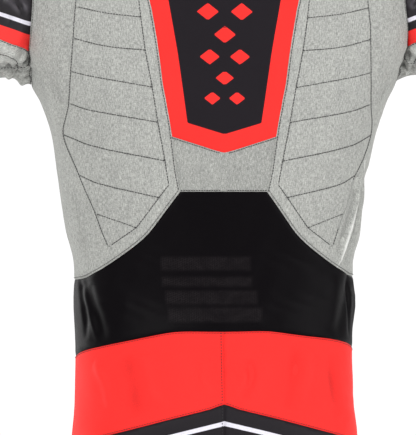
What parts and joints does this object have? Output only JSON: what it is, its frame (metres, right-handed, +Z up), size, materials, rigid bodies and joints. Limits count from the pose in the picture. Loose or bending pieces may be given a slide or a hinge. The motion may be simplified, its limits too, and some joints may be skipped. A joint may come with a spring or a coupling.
{
  "type": "karting suit",
  "caption": "One-piece driving suit of sewn cloth pieces, worn form, hollow, open at neck, wrists and ankles, with a quilted back and a smooth lumbar piece.",
  "frame": {"origin": "the middle of the wearer's shoulders, at the height of the neck side", "axes": "+Z up along the standing wearer, -Y towards the wearer's back, which the picture shows, -X towards the wearer's left"},
  "size_m": [1.2918, 0.2488, 1.5701],
  "materials": {
    "grey_cloth": "matt melange",
    "red_cloth": "matt",
    "black_cloth": "matt",
    "black_stretch": "soft sheen",
    "printed_cloth": "matt, printed red and black"
  },
  "bodies": {
    "root": {"back_centre": "printed_cloth", "back_tail": "grey_cloth", "back_side_left": "grey_cloth", "back_side_right": "grey_cloth", "lumbar": "black_stretch", "seat_left": "red_cloth", "seat_right": "red_cloth", "leg_back_left": "black_cloth", "leg_back_right": "black_cloth", "leg_front_left": "black_cloth", "leg_front_right": "black_cloth", "hip_front_left": "red_cloth", "hip_front_right": "red_cloth", "waist_front_left": "black_stretch", "waist_front_right": "black_stretch", "chest_front_left": "grey_cloth", "chest_front_right": "grey_cloth", "front_fly": "black_cloth", "sleeve_cap_left": "printed_cloth", "sleeve_cap_right": "printed_cloth", "sleeve_upper_left": "grey_cloth", "sleeve_upper_right": "grey_cloth", "sleeve_under_left": "grey_cloth", "sleeve_under_right": "grey_cloth", "wrist_cuff_left": "black_cloth", "wrist_cuff_right": "black_cloth", "ankle_cuff_left": "black_cloth", "ankle_cuff_right": "black_cloth", "collar": "black_cloth"}
  },
  "joints": []
}
